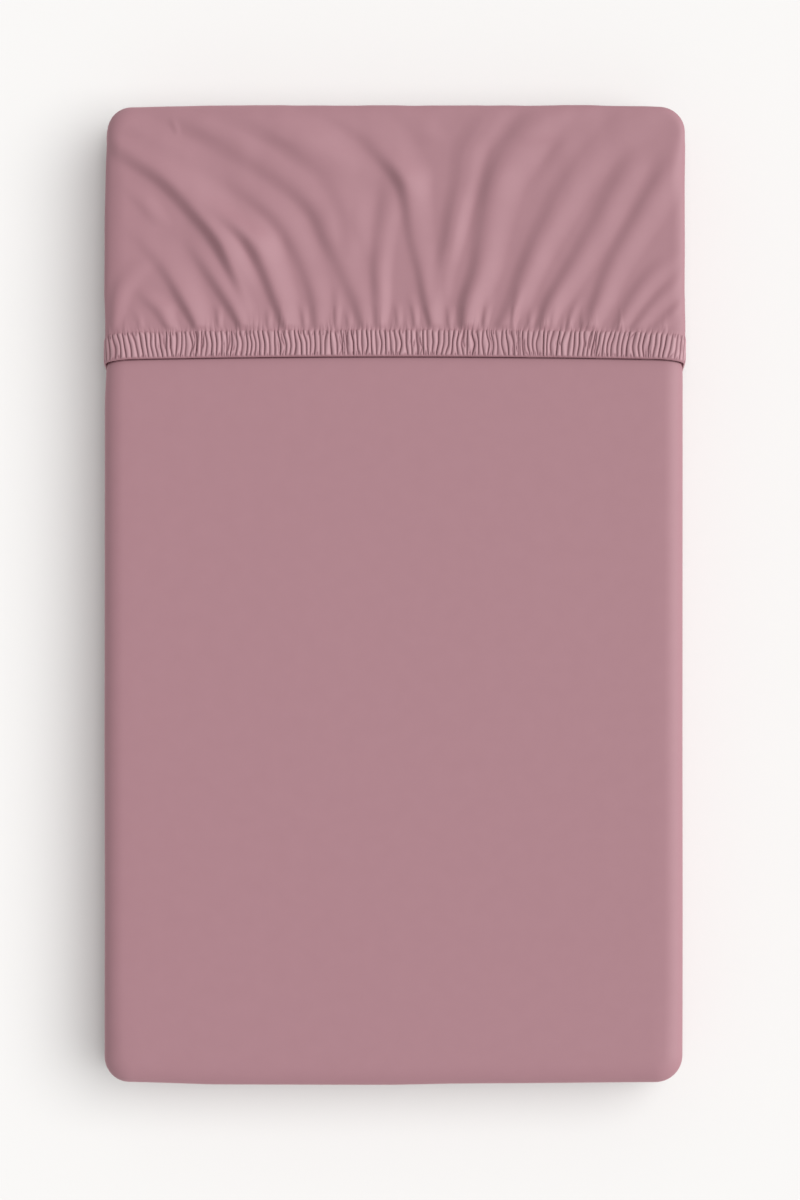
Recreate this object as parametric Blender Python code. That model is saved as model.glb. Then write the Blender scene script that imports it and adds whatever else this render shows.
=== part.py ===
"""Fitted sheet drawn over a cot mattress, lying on its back.

The sheet is one cloth. It covers the foot end, both long sides, the back and most of the face
smoothly. Its head end is a deep pocket that comes over the head of the mattress and laps the face,
where folds fan out from a gathered, elasticated hem. Metres, +Z up, +Y towards the head end.
The origin is on the floor, under the middle of the mattress.
"""

import math
import random
from collections import namedtuple

import bmesh
import bpy
from mathutils import Vector

# Overall sizes
WIDTH = 0.599           # across the smooth part of the sheet
LENGTH = 1.014          # foot end to head end, over the pocket
HEIGHT = 0.100          # floor to the smooth face
CORNER_RADIUS = 0.027   # seen from above
EDGE_RADIUS = 0.020     # round the rim of the face
BOTTOM_RADIUS = 0.016   # round the rim of the back

# Cloth
CLOTH = 0.0015
GAP = 0.0003            # between two layers, and between the sheet and the mattress
POCKET_RISE = GAP + CLOTH
LAP = 0.045             # how far the smooth part runs on under the pocket's hem
SEAM_HEIGHT = 0.008     # floor to the seam that joins the pocket to the back
TRAY_HEIGHT = 0.022     # the back is turned up this far inside the pocket's seam
SEAM_BITE = 0.0007      # the pocket's lowest edge is sewn this far into the turned-up back

# Hem of the pocket
HEM_Y = 0.2458          # edge of the hem at the middle of the face
BAND = 0.0262           # width of the gathered band
HEM_BOW = 0.0026        # the hem sags this much towards the foot by the edge of the face
HEM_DROP = 0.0150       # and this much more as it goes down the wall
BAND_LIFT = 0.0010      # the elastic inside the hem
GATHER_PITCH = 0.0052   # from one gather of the band to the next
GATHER_LIFT = 0.0017
GATHER_UNEVEN = 0.35    # share by which the gathers differ in height
GATHER_SWAY = 0.0004    # how far a gather strays to the side
GATHER_SEED = 7
WALL_HELD = 0.4         # share of the band's lifts left on the walls, where the elastic is tight

# Finish
SHEET_COLOUR = (0.44, 0.24, 0.27)
SHEET_ROUGHNESS = 0.85
TICKING_COLOUR = (0.80, 0.79, 0.76)
TICKING_ROUGHNESS = 0.90

# Steps of the mesh
CORNER_STEPS = 5
EDGE_STEPS = 4
BOTTOM_STEPS = 3
WALL_STEPS = 3
FACE_STEPS = 104
HEAD_SKIP = 2           # the head wall keeps every second column
ROWS = 14
FIRST_ROW = 0.03        # share of the way from the band to the head line
FOLD_SAMPLES = 24       # points read along each fold
SHARP_ANGLE = 30        # degrees
TINY = 1e-6

EDGE_ARC = EDGE_RADIUS * math.pi / 2
FLAT_RIM = CORNER_RADIUS - EDGE_RADIUS
WALL_TOP = FLAT_RIM + EDGE_ARC
WALL_DROP = HEIGHT - EDGE_RADIUS - BOTTOM_RADIUS
SEAM_AT = WALL_TOP + HEIGHT - EDGE_RADIUS - SEAM_HEIGHT
HALF_FACE = WIDTH / 2 - CORNER_RADIUS
FOOT_LINE = -LENGTH / 2 + CORNER_RADIUS
HEAD_LINE = LENGTH / 2 - POCKET_RISE - CORNER_RADIUS

# The hem's band, from its edge to its stitch line: place across the band, and how high the gathers
# stand there.
BandRow = namedtuple("BandRow", "place relief")
BAND_ROWS = (BandRow(0.0, 1.0), BandRow(0.3, 1.0), BandRow(0.7, 0.9), BandRow(1.0, 0.55))

# Each fold of the pocket is a ridge, steep on its left and gentle on its right. The four points run
# up the middle of the steep side, in the plane of the face: where it meets the hem, two on the way,
# and where it dies out. Then come its height and the widths of its two sides.
Fold = namedtuple("Fold", "name hem low high tip lift steep gentle")
FOLDS = [Fold(*row) for row in (
    ("left_edge", (-0.297, 0.280), (-0.293, 0.304), (-0.283, 0.326), (-0.266, 0.350), 0.0030, 0.007, 0.014),
    ("left_low", (-0.237, 0.275), (-0.247, 0.292), (-0.257, 0.303), (-0.268, 0.314), 0.0035, 0.005, 0.014),
    ("left_second", (-0.209, 0.276), (-0.221, 0.305), (-0.243, 0.338), (-0.276, 0.380), 0.0050, 0.006, 0.018),
    ("left_third", (-0.162, 0.276), (-0.178, 0.308), (-0.198, 0.341), (-0.226, 0.380), 0.0055, 0.006, 0.017),
    ("corner_long", (-0.147, 0.279), (-0.174, 0.342), (-0.226, 0.410), (-0.301, 0.480), 0.0070, 0.007, 0.020),
    ("left_fourth", (-0.116, 0.277), (-0.134, 0.323), (-0.159, 0.373), (-0.192, 0.412), 0.0055, 0.006, 0.018),
    ("left_fifth", (-0.082, 0.277), (-0.103, 0.361), (-0.160, 0.422), (-0.284, 0.492), 0.0052, 0.007, 0.020),
    ("left_sweep", (-0.035, 0.278), (-0.071, 0.368), (-0.126, 0.433), (-0.236, 0.499), 0.0050, 0.007, 0.022),
    ("top_sweep", (-0.043, 0.345), (-0.061, 0.420), (-0.113, 0.465), (-0.193, 0.506), 0.0040, 0.009, 0.024),
    ("upright", (-0.016, 0.278), (-0.019, 0.321), (-0.016, 0.373), (-0.010, 0.436), 0.0040, 0.007, 0.014),
    ("middle_sweep", (0.039, 0.278), (0.023, 0.363), (0.005, 0.438), (-0.070, 0.506), 0.0070, 0.007, 0.022),
    ("right_first", (0.046, 0.306), (0.052, 0.362), (0.062, 0.420), (0.090, 0.498), 0.0045, 0.008, 0.016),
    ("right_second", (0.070, 0.278), (0.080, 0.342), (0.097, 0.428), (0.147, 0.512), 0.0070, 0.008, 0.022),
    ("right_third", (0.108, 0.277), (0.126, 0.321), (0.160, 0.395), (0.236, 0.506), 0.0060, 0.009, 0.024),
    ("right_fourth", (0.150, 0.277), (0.164, 0.313), (0.206, 0.384), (0.264, 0.490), 0.0055, 0.007, 0.018),
    ("right_fifth", (0.202, 0.277), (0.221, 0.325), (0.250, 0.393), (0.300, 0.484), 0.0060, 0.008, 0.022),
    ("right_sixth", (0.227, 0.276), (0.243, 0.306), (0.259, 0.329), (0.280, 0.353), 0.0035, 0.006, 0.014),
    ("right_seventh", (0.247, 0.276), (0.261, 0.296), (0.276, 0.313), (0.295, 0.333), 0.0030, 0.006, 0.013),
    ("right_edge", (0.268, 0.275), (0.281, 0.288), (0.293, 0.300), (0.306, 0.312), 0.0025, 0.005, 0.012),
    ("left_wall", (-0.345, 0.268), (-0.338, 0.310), (-0.331, 0.355), (-0.322, 0.400), 0.0014, 0.007, 0.016),
    ("right_wall", (0.335, 0.268), (0.333, 0.305), (0.328, 0.345), (0.320, 0.385), 0.0014, 0.007, 0.016),
)]
TIP_FADE = 0.25         # share of a fold's length over which its tip dies out
HEM_SHARE = 0.55        # share of a fold's lift that is left where the hem holds it


def eased(share):
    """0 to 1, starting and ending level."""
    share = min(max(share, 0.0), 1.0)
    return share * share * (3 - 2 * share)


def remove_everything():
    for old in list(bpy.data.objects):
        bpy.data.objects.remove(old)


def cloth_finish(name, colour, roughness):
    finish = bpy.data.materials.new(name)
    finish.use_nodes = True
    shader = finish.node_tree.nodes["Principled BSDF"]
    shader.inputs["Base Color"].default_value = (*colour, 1.0)
    shader.inputs["Roughness"].default_value = roughness
    shader.inputs["Metallic"].default_value = 0.0
    return finish


# The base surface is the outside of the smooth sheet. A point of it is known by the straight core
# line it belongs to, the way it faces, and how far down the side it lies, measured over the cloth.

def side_profile(down):
    """Distance out from the core line, height, and tilt of the surface from level, this far down."""
    if down <= FLAT_RIM:
        return down, HEIGHT, 0.0
    if down <= WALL_TOP:
        tilt = (down - FLAT_RIM) / EDGE_RADIUS
        height = HEIGHT - EDGE_RADIUS * (1 - math.cos(tilt))
        return FLAT_RIM + EDGE_RADIUS * math.sin(tilt), height, tilt
    if down <= WALL_TOP + WALL_DROP:
        return CORNER_RADIUS, HEIGHT - EDGE_RADIUS - (down - WALL_TOP), math.pi / 2
    turn = (down - WALL_TOP - WALL_DROP) / BOTTOM_RADIUS
    out = CORNER_RADIUS - BOTTOM_RADIUS * (1 - math.cos(turn))
    return out, BOTTOM_RADIUS * (1 - math.sin(turn)), math.pi / 2 + turn


def side_point(core, facing, down, rise):
    """The point this far down the side, moved out by rise along the surface's normal."""
    out, height, tilt = side_profile(down)
    reach = out + rise * math.sin(tilt)
    x = core[0] + facing[0] * reach
    y = core[1] + facing[1] * reach
    return Vector((x, y, height + rise * math.cos(tilt)))


def corner_stations():
    """Core points and facings round all four corners, anticlockwise from the right-hand head corner."""
    corners = ((1, HEAD_LINE, 0), (-1, HEAD_LINE, 1), (-1, FOOT_LINE, 2), (1, FOOT_LINE, 3))
    stations = []
    for side, line, quarter in corners:
        for step in range(CORNER_STEPS + 1):
            angle = (quarter + step / CORNER_STEPS) * math.pi / 2
            stations.append(((side * HALF_FACE, line), (math.cos(angle), math.sin(angle))))
    return stations


def profile_steps():
    """Distances down the side from the edge of the face to the edge of the back."""
    edge = [FLAT_RIM + EDGE_ARC * step / EDGE_STEPS for step in range(EDGE_STEPS + 1)]
    turn = BOTTOM_RADIUS * math.pi / 2
    bottom = [WALL_TOP + WALL_DROP + turn * step / BOTTOM_STEPS for step in range(BOTTOM_STEPS + 1)]
    return edge + bottom


def make_object(name, points, faces):
    mesh = bpy.data.meshes.new(name)
    mesh.from_pydata([tuple(point) for point in points], [], faces)
    shape = bmesh.new()
    shape.from_mesh(mesh)
    bmesh.ops.recalc_face_normals(shape, faces=shape.faces)
    shape.to_mesh(mesh)
    shape.free()
    made = bpy.data.objects.new(name, mesh)
    bpy.context.scene.collection.objects.link(made)
    return made


def rounded_box(name, rise):
    """A closed box with the sheet's rounded outline, moved out from the base surface by rise."""
    stations = corner_stations()
    downs = profile_steps()
    points = [side_point(core, facing, down, rise) for down in downs for core, facing in stations]
    count = len(stations)
    faces = [list(range(count)), list(range(len(points) - count, len(points)))]
    for row in range(0, len(points) - count, count):
        for at in range(count):
            after = (at + 1) % count
            faces.append([row + at, row + after, row + count + after, row + count + at])
    return make_object(name, points, faces)


def block(name, low, high):
    """A box between two corners."""
    low, high = Vector(low), Vector(high)
    bpy.ops.mesh.primitive_cube_add(size=1.0, location=(low + high) / 2)
    made = bpy.context.object
    made.name = name
    made.scale = high - low
    return made


def combine(target, tool, operation):
    """Cuts the tool from the target, or joins it on, and applies the result."""
    change = target.modifiers.new(operation.lower(), "BOOLEAN")
    change.operation = operation
    change.object = tool
    change.solver = "EXACT"
    graph = bpy.context.evaluated_depsgraph_get()
    result = bpy.data.meshes.new_from_object(target.evaluated_get(graph))
    target.modifiers.clear()
    target.data = result
    bpy.data.objects.remove(tool)


def spline_point(points, share):
    """A point of the smooth curve through these points."""
    spans = len(points) - 1
    span = min(int(share * spans), spans - 1)
    part = share * spans - span
    before = Vector(points[max(span - 1, 0)])
    start = Vector(points[span])
    end = Vector(points[span + 1])
    after = Vector(points[min(span + 2, spans)])
    bend = 2 * before - 5 * start + 4 * end - after
    twist = 3 * start - before - 3 * end + after
    return start + (end - before) * part / 2 + bend * part ** 2 / 2 + twist * part ** 3 / 2


def fold_path(fold):
    """Points up the steep side of a fold, from the hem to its tip."""
    points = (fold.hem, fold.low, fold.high, fold.tip)
    return [spline_point(points, step / FOLD_SAMPLES) for step in range(FOLD_SAMPLES + 1)]


PATHS = [(fold, fold_path(fold)) for fold in FOLDS]


def ridge_height(fold, path, across, along):
    """Height that one fold adds at this place of the cloth."""
    low, high = path[0].y, path[-1].y
    reach = min(max(along, low), high)
    start, end = next((start, end) for start, end in zip(path, path[1:]) if reach <= end.y)
    step = end - start
    middle = start.x + step.x * (reach - start.y) / step.y
    off = (across - middle) * step.y / step.length
    if off < fold.steep:
        shape = eased((off + fold.steep) / (2 * fold.steep))
    else:
        shape = eased(1 - (off - fold.steep) / fold.gentle)
    if shape == 0.0:
        return 0.0
    length_share = (reach - low) / (high - low)
    fade = eased((1 - length_share) / TIP_FADE)
    held = HEM_SHARE + (1 - HEM_SHARE) * eased(length_share / TIP_FADE)
    past_ends = max(low - along, along - high, 0.0)
    return fold.lift * shape * fade * held * eased(1 - past_ends / fold.gentle)


def fold_height(across, along):
    """Height of all the folds at a place on the pocket, measured across and along the cloth."""
    return sum(ridge_height(fold, path, across, along) for fold, path in PATHS)


def hem_line(across):
    """How far up the face the edge of the hem runs."""
    on_face = min(abs(across) / HALF_FACE, 1.0)
    over_edge = eased((abs(across) - HALF_FACE) / SEAM_AT)
    return HEM_Y - HEM_BOW * on_face ** 2 - HEM_DROP * over_edge


def pocket_point(across, along, rise):
    """A point of the pocket between the hem and the head line, by its distance across the cloth."""
    if abs(across) <= HALF_FACE:
        return Vector((across, along, HEIGHT + rise))
    side = math.copysign(1.0, across)
    return side_point((side * HALF_FACE, along), (side, 0.0), abs(across) - HALF_FACE, rise)


def side_steps():
    """Distances down the side of the pocket, from the core line to the seam."""
    edge = [FLAT_RIM + EDGE_ARC * step / EDGE_STEPS for step in range(EDGE_STEPS + 1)]
    wall = [WALL_TOP + (SEAM_AT - WALL_TOP) * step / WALL_STEPS for step in range(1, WALL_STEPS + 1)]
    return [0.0] + edge + wall


def pocket_columns():
    """Distances across the cloth, from the left seam to the right seam."""
    downs = side_steps()
    face = [HALF_FACE * (2 * step / FACE_STEPS - 1) for step in range(FACE_STEPS + 1)]
    right = [HALF_FACE + down for down in downs[1:]]
    left = [-across for across in reversed(right)]
    return left + face + right


def band_columns(columns):
    """The columns of the gathered band: the pocket's own, each step parted into whole gathers."""
    fine = []
    for start, end in zip(columns, columns[1:]):
        parts = 2 * max(round((end - start) / GATHER_PITCH), 1)
        fine += [start + (end - start) * part / parts for part in range(parts)]
    return fine + [columns[-1]]


def at_seam(across):
    return abs(across) > HALF_FACE + SEAM_AT - TINY


class Skin:
    """Collects the points and faces of one closed surface."""

    def __init__(self):
        self.points = []
        self.faces = []

    def row(self, points):
        """Adds a row of points and returns their numbers."""
        first = len(self.points)
        self.points += points
        return list(range(first, len(self.points)))

    def span(self, row, after):
        """Triangles between two rows with the same number of points, parted the way the folds fan."""
        for at in range(len(row) - 1):
            near, near_next, far, far_next = row[at], row[at + 1], after[at], after[at + 1]
            if self.points[near].x < 0:
                self.faces += [[near, near_next, far], [near_next, far_next, far]]
            else:
                self.faces += [[near, near_next, far_next], [near, far_next, far]]

    def zip_rows(self, row, row_at, after, after_at):
        """Triangles between two rows with different numbers of points, by the place of each point."""
        near, far = 0, 0
        while near < len(row) - 1 or far < len(after) - 1:
            far_done = far == len(after) - 1
            near_done = near == len(row) - 1
            if far_done or not near_done and row_at[near + 1] <= after_at[far + 1]:
                self.faces.append([row[near], row[near + 1], after[far]])
                near += 1
            else:
                self.faces.append([row[near], after[far + 1], after[far]])
                far += 1


def main_rows(skin, columns, base_rise, seam_rise):
    """Rows of one side of the pocket from above the band to the head line."""
    rows = []
    for number in range(ROWS):
        share = FIRST_ROW + (1 - FIRST_ROW) * number / (ROWS - 1)
        points = []
        for across in columns:
            start = hem_line(across) + BAND
            along = start + (HEAD_LINE - start) * share
            rise = seam_rise if at_seam(across) else base_rise + fold_height(across, along)
            points.append(pocket_point(across, along, rise))
        rows.append(skin.row(points))
    for row, after in zip(rows, rows[1:]):
        skin.span(row, after)
    return rows


def band_rows(skin, fine):
    """Rows of the gathered band's outside, from the edge of the hem to its stitch line."""
    chance = random.Random(GATHER_SEED)
    heights = [(at % 2) * (1 + GATHER_UNEVEN * chance.uniform(-1, 1)) for at in range(len(fine))]
    rows = []
    for place, relief in BAND_ROWS:
        points = []
        for across, height in zip(fine, heights):
            sway = GATHER_SWAY * chance.uniform(-1, 1)
            held = 1 - (1 - WALL_HELD) * eased((abs(across) - HALF_FACE) / WALL_TOP)
            lift = held * (BAND_LIFT + GATHER_LIFT * height * relief)
            if at_seam(across):
                sway = 0.0
                lift = 0.0
            along = hem_line(across) + BAND * place
            points.append(pocket_point(across + sway, along, POCKET_RISE + lift))
        rows.append(skin.row(points))
    for row, after in zip(rows, rows[1:]):
        skin.span(row, after)
    return rows


def head_stations(face_at):
    """Core points and facings round the head, from the left corner to the right corner."""
    turns = [step / CORNER_STEPS * math.pi / 2 for step in range(1, CORNER_STEPS + 1)]
    left = [((-HALF_FACE, HEAD_LINE), (-math.cos(turn), math.sin(turn))) for turn in turns]
    right = [((HALF_FACE, HEAD_LINE), (-facing[0], facing[1])) for core, facing in reversed(left)]
    wall = [((across, HEAD_LINE), (0.0, 1.0)) for across in face_at[1:-1]]
    return left + wall + right


def head_column(skin, core, facing, base_rise, seam_rise):
    """Points down the head wall, or down a corner, from the rim of the face to the seam."""
    downs = side_steps()[1:]
    points = []
    for down in downs[:-1]:
        lift = fold_height(core[0] + facing[0] * down, core[1] + facing[1] * down)
        points.append(side_point(core, facing, down, base_rise + lift))
    points.append(side_point(core, facing, downs[-1], seam_rise))
    return skin.row(points)


def head_rows(skin, columns, last_row, base_rise, seam_rise):
    """The head corners and the head wall on one side of the cloth. Returns the edge along the seam."""
    count = len(side_steps()) - 1
    face = last_row[count:-count]
    face_at = columns[count:-count]
    kept = face_at[::HEAD_SKIP]
    made = [head_column(skin, *station, base_rise, seam_rise) for station in head_stations(kept)]
    drops = [last_row[:count][::-1]] + made + [last_row[-count:]]
    for drop, after in zip(drops, drops[1:]):
        skin.span(drop, after)
    rim = [drop[0] for drop in drops]
    for at in range(CORNER_STEPS):
        skin.faces.append([face[0], rim[at], rim[at + 1]])
        skin.faces.append([face[-1], rim[-at - 1], rim[-at - 2]])
    skin.zip_rows(face, face_at, rim[CORNER_STEPS:-CORNER_STEPS], kept)
    return [drop[-1] for drop in made]


def pocket_side(skin, columns, first_row, first_at, base_rise, seam_rise):
    """One side of the pocket above the band, joined to the band's last row. Returns its seam edge."""
    rows = main_rows(skin, columns, base_rise, seam_rise)
    skin.zip_rows(first_row, first_at, rows[0], columns)
    head = head_rows(skin, columns, rows[-1], base_rise, seam_rise)
    return [row[0] for row in rows] + head + [row[-1] for row in reversed(rows)]


def make_pocket():
    """The pocket over the head end, closed all round: its outside, its inside and its two edges."""
    skin = Skin()
    columns = pocket_columns()
    fine = band_columns(columns)
    outer_band = band_rows(skin, fine)
    inner_band = []
    for share in (0.0, 1.0):
        points = []
        for across in columns:
            rise = -SEAM_BITE if at_seam(across) else GAP
            points.append(pocket_point(across, hem_line(across) + BAND * share, rise))
        inner_band.append(skin.row(points))
    skin.span(*inner_band)
    outer_seam = pocket_side(skin, columns, outer_band[-1], fine, POCKET_RISE, POCKET_RISE)
    inner_seam = pocket_side(skin, columns, inner_band[-1], columns, GAP, -SEAM_BITE)
    skin.zip_rows(outer_band[0], fine, inner_band[0], columns)
    skin.span(outer_seam, inner_seam)
    for end in (0, -1):
        outer = [row[end] for row in outer_band] + [outer_seam[end]]
        inner = [row[end] for row in inner_band] + [inner_seam[end]]
        outer_at = [skin.points[at].y for at in outer]
        inner_at = [skin.points[at].y for at in inner]
        skin.zip_rows(outer, outer_at, inner, inner_at)
    return make_object("pocket", skin.points, skin.faces)


def make_sheet():
    """The whole sheet: the smooth cover, open under the pocket, and the pocket sewn to its back."""
    sheet = rounded_box("sheet", 0.0)
    combine(sheet, rounded_box("hollow", -CLOTH), "DIFFERENCE")
    opening_low = (-WIDTH, HEM_Y + LAP, TRAY_HEIGHT)
    opening_high = (WIDTH, LENGTH, 2 * HEIGHT)
    combine(sheet, block("opening", opening_low, opening_high), "DIFFERENCE")
    combine(sheet, make_pocket(), "UNION")
    sheet.data.materials.clear()
    sheet.data.materials.append(cloth_finish("dusty rose cotton", SHEET_COLOUR, SHEET_ROUGHNESS))
    return sheet


def make_mattress():
    """The plain foam mattress that fills the sheet."""
    mattress = rounded_box("mattress", -CLOTH - GAP)
    mattress.data.materials.append(cloth_finish("white ticking", TICKING_COLOUR, TICKING_ROUGHNESS))
    return mattress


def shade(made):
    made.data.shade_smooth()
    made.data.set_sharp_from_angle(angle=math.radians(SHARP_ANGLE))


remove_everything()
for piece in (make_sheet(), make_mattress()):
    shade(piece)
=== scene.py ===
import math

import bmesh
import bpy
import numpy as np
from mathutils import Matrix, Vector


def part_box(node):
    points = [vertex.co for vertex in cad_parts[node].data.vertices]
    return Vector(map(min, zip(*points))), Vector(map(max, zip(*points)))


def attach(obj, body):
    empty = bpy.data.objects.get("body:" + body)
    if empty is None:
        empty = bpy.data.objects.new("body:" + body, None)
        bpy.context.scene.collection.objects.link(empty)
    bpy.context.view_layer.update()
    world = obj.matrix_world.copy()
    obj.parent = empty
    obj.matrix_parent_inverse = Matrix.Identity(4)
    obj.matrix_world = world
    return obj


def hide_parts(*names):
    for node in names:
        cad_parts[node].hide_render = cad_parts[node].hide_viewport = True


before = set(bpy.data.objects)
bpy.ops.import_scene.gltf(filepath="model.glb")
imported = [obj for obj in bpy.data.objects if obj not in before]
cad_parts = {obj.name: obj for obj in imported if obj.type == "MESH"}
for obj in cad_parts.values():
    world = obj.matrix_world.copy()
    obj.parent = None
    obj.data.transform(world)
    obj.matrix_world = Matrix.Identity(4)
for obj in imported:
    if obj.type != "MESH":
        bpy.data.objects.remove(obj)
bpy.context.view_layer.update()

# The cloth is first laid out flat, on a plane of two measures: across, and along towards the head end.
# wrap() then bends that plane over the mattress.
shape = {
    "clothRise": 0.0018,  # outside of the smooth cloth above the mattress
    "cornerRadius": 0.033,  # seen from above
    "edgeRadius": 0.020,  # round the rim of the face
    # along, share of that radius: softer at the foot, tighter at the head
    "edgeShare": [(-0.470, 1.15), (-0.420, 1.0), (0.430, 1.0), (0.480, 0.48)],
    # along, how far the rim drops as a share of its radius
    "edgeFall": [(-0.420, 0.60), (0.200, 0.64), (0.290, 0.36), (0.430, 0.36), (0.480, 0.45)],
    "edgeRight": 0.45,  # the pocket turns down more sharply on its right
    "edgeRightFrom": 0.24,
    "edgeRightLong": 0.05,
    "bottomRadius": 0.016,  # round the rim of the back
    "bottomRun": 0.008,  # from the lower end of the wall to the pocket's seam, over the cloth
    # how far the taut cloth squeezes the mattress at its sides and ends
    "sideSqueeze": 0.0008,
    "headSqueeze": 0.0012,
    "footSqueeze": 0.0010,
    # how tight each corner is pulled, seen from above
    "headLeft": 0.0228,
    "headRight": 0.0245,
    "footLeft": 0.0258,
    "footRight": 0.0278,
}

# How far the cloth draws the mattress in besides: its left side under the pocket, and its two ends
drawnIn = {
    # along, how far
    "left": [
        (0.200, 0.0), (0.245, 0.0024), (0.272, 0.0032), (0.310, 0.0016), (0.400, 0.0017), (0.450, 0.0033),
        (0.490, 0.0058),
    ],
    # across, how far
    "head": [(-0.268, 0.0024), (-0.200, 0.0010), (-0.150, 0.0003), (0.210, 0.0004), (0.268, 0.0018)],
    "foot": [
        (-0.268, 0.0027), (-0.245, 0.0022), (-0.190, 0.0005), (0.000, 0.0005), (0.060, 0.0016),
        (0.268, 0.0020),
    ],
    "endFrom": 0.38,  # the ends are drawn in over this stretch
    "endLong": 0.10,
}

mattressLow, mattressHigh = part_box("mattress")
faceHeight = mattressHigh[2] + shape["clothRise"]
halfFace = mattressHigh[0] + shape["clothRise"] - shape["cornerRadius"] - shape["sideSqueeze"]
headLine = mattressHigh[1] + shape["clothRise"] - shape["cornerRadius"] - shape["headSqueeze"]
footLine = mattressLow[1] - shape["clothRise"] + shape["cornerRadius"] + shape["footSqueeze"]

# distances from the core of the face, over its rim and down the side
flatRim = shape["cornerRadius"] - shape["edgeRadius"]
wallTop = flatRim + shape["edgeRadius"] * math.pi / 2
wallEnd = wallTop + faceHeight - shape["edgeRadius"] - shape["bottomRadius"]
seamDown = wallEnd + shape["bottomRun"]
bottomEnd = wallEnd + shape["bottomRadius"] * math.pi / 2
seamAt = halfFace + seamDown

tiny = 1e-9
mergeDistance = 2e-5

seeds = {
    "ticking": 4,
    "slack": 11,
    "drift": 7,
    "patches": 9,
    "uneven": 10,
    "ends": 31,
    "tails": 21,
    "wrinkle": 15,
}


def eased(share):
    share = np.clip(share, 0.0, 1.0)
    return share * share * (3 - 2 * share)


def upFrom(low, share):
    return low + (1 - low) * share


def valueAt(place, table):
    at, value = zip(*table)
    return np.interp(place, at, value)


def softNoise(x, y, seed):
    table = np.random.default_rng(seed).uniform(-1, 1, (256, 64))
    x, y = np.broadcast_arrays(x, y)
    column, row = np.floor(x).astype(int), np.floor(y).astype(int)
    partX, partY = eased(x - column), eased(y - row)
    corners = [table[(column + i) % 256, (row + j) % 64] for j in (0, 1) for i in (0, 1)]
    near = corners[0] * (1 - partX) + corners[1] * partX
    far = corners[2] * (1 - partX) + corners[3] * partX
    return near * (1 - partY) + far * partY


# How much further out the cloth lies at a corner that is tighter than the plane's own corner radius
def cornerStretch(overX, overY, down):
    tight = np.where(
        overY > 0,
        np.where(overX < 0, shape["headLeft"], shape["headRight"]),
        np.where(overX < 0, shape["footLeft"], shape["footRight"]),
    )
    radius = shape["cornerRadius"]
    loose = radius - tight
    longer = np.maximum(np.maximum(np.abs(overX), np.abs(overY)), tiny)
    shorter = np.minimum(np.abs(overX), np.abs(overY))
    diagonal = loose * (longer + shorter) / down
    bent = diagonal + np.sqrt(np.maximum(diagonal ** 2 - 2 * loose ** 2 + tight ** 2, 0))
    return np.where(radius * shorter < loose * longer, down / longer, bent / radius)


def drawIn(x, y):
    headIn = valueAt(x, drawnIn["head"]) * eased((y - drawnIn["endFrom"]) / drawnIn["endLong"])
    footIn = valueAt(x, drawnIn["foot"]) * eased((-y - drawnIn["endFrom"]) / drawnIn["endLong"])
    leftIn = valueAt(y, drawnIn["left"]) * eased(-x / halfFace)
    return x + leftIn, y - headIn + footIn


def rimRadius(across, along):
    edge = shape["edgeRadius"] * valueAt(along, shape["edgeShare"])
    onRight = eased(across / halfFace) * eased((along - shape["edgeRightFrom"]) / shape["edgeRightLong"])
    return edge * (1 - shape["edgeRight"] * onRight)


# A point of the flat plane, lifted by rise, at its place on the mattress
def wrap(across, along, rise):
    coreX = np.clip(across, -halfFace, halfFace)
    coreY = np.clip(along, footLine, headLine)
    overX, overY = across - coreX, along - coreY
    down = np.hypot(overX, overY)
    safe = np.maximum(down, tiny)
    bottom = shape["bottomRadius"]
    edge = rimRadius(across, along)
    fall = valueAt(along, shape["edgeFall"])
    flat = shape["cornerRadius"] - edge
    top = flat + edge * math.pi / 2
    tilt = np.clip((down - flat) / edge, 0, math.pi / 2)  # over the rim of the face
    turn = np.clip((down - wallEnd) / bottom, 0, math.pi / 2)  # round the rim of the back
    wall = np.clip((down - top) / (wallEnd - top), 0, 1) * (faceHeight - fall * edge - bottom)
    out = np.minimum(down, flat) + edge * np.sin(tilt)
    out = out - bottom * (1 - np.cos(turn)) - np.maximum(down - bottomEnd, 0)
    height = faceHeight - fall * edge * (1 - np.cos(tilt)) - wall - bottom * np.sin(turn)
    lean = np.arctan2(fall * np.sin(tilt), np.cos(tilt)) + turn
    reach = out * cornerStretch(overX, overY, safe) + rise * np.sin(lean)
    x, y = drawIn(coreX + overX / safe * reach, coreY + overY / safe * reach)
    return np.stack([x, y, height + rise * np.cos(lean)], -1)


def newCloth():
    return {"points": [], "flat": [], "tone": [], "faces": [], "count": 0}


def addPoints(cloth, points, across, along, tone=0.0):
    numbers = cloth["count"] + np.arange(across.size).reshape(across.shape)
    cloth["points"].append(points.reshape(-1, 3))
    cloth["flat"].append(np.stack([across, along], -1).reshape(-1, 2))
    cloth["tone"].append(np.broadcast_to(tone, across.shape).ravel())
    cloth["count"] += across.size
    return numbers


def joinRows(cloth, numbers):
    corners = [numbers[:-1, :-1], numbers[:-1, 1:], numbers[1:, 1:], numbers[1:, :-1]]
    cloth["faces"] += np.stack(corners, -1).reshape(-1, 4).tolist()


def addRows(cloth, across, along, rise, tone=0.0):
    across, along, rise = np.broadcast_arrays(across, along, rise)
    numbers = addPoints(cloth, wrap(across, along, rise), across, along, tone)
    joinRows(cloth, numbers)
    return numbers


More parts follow.
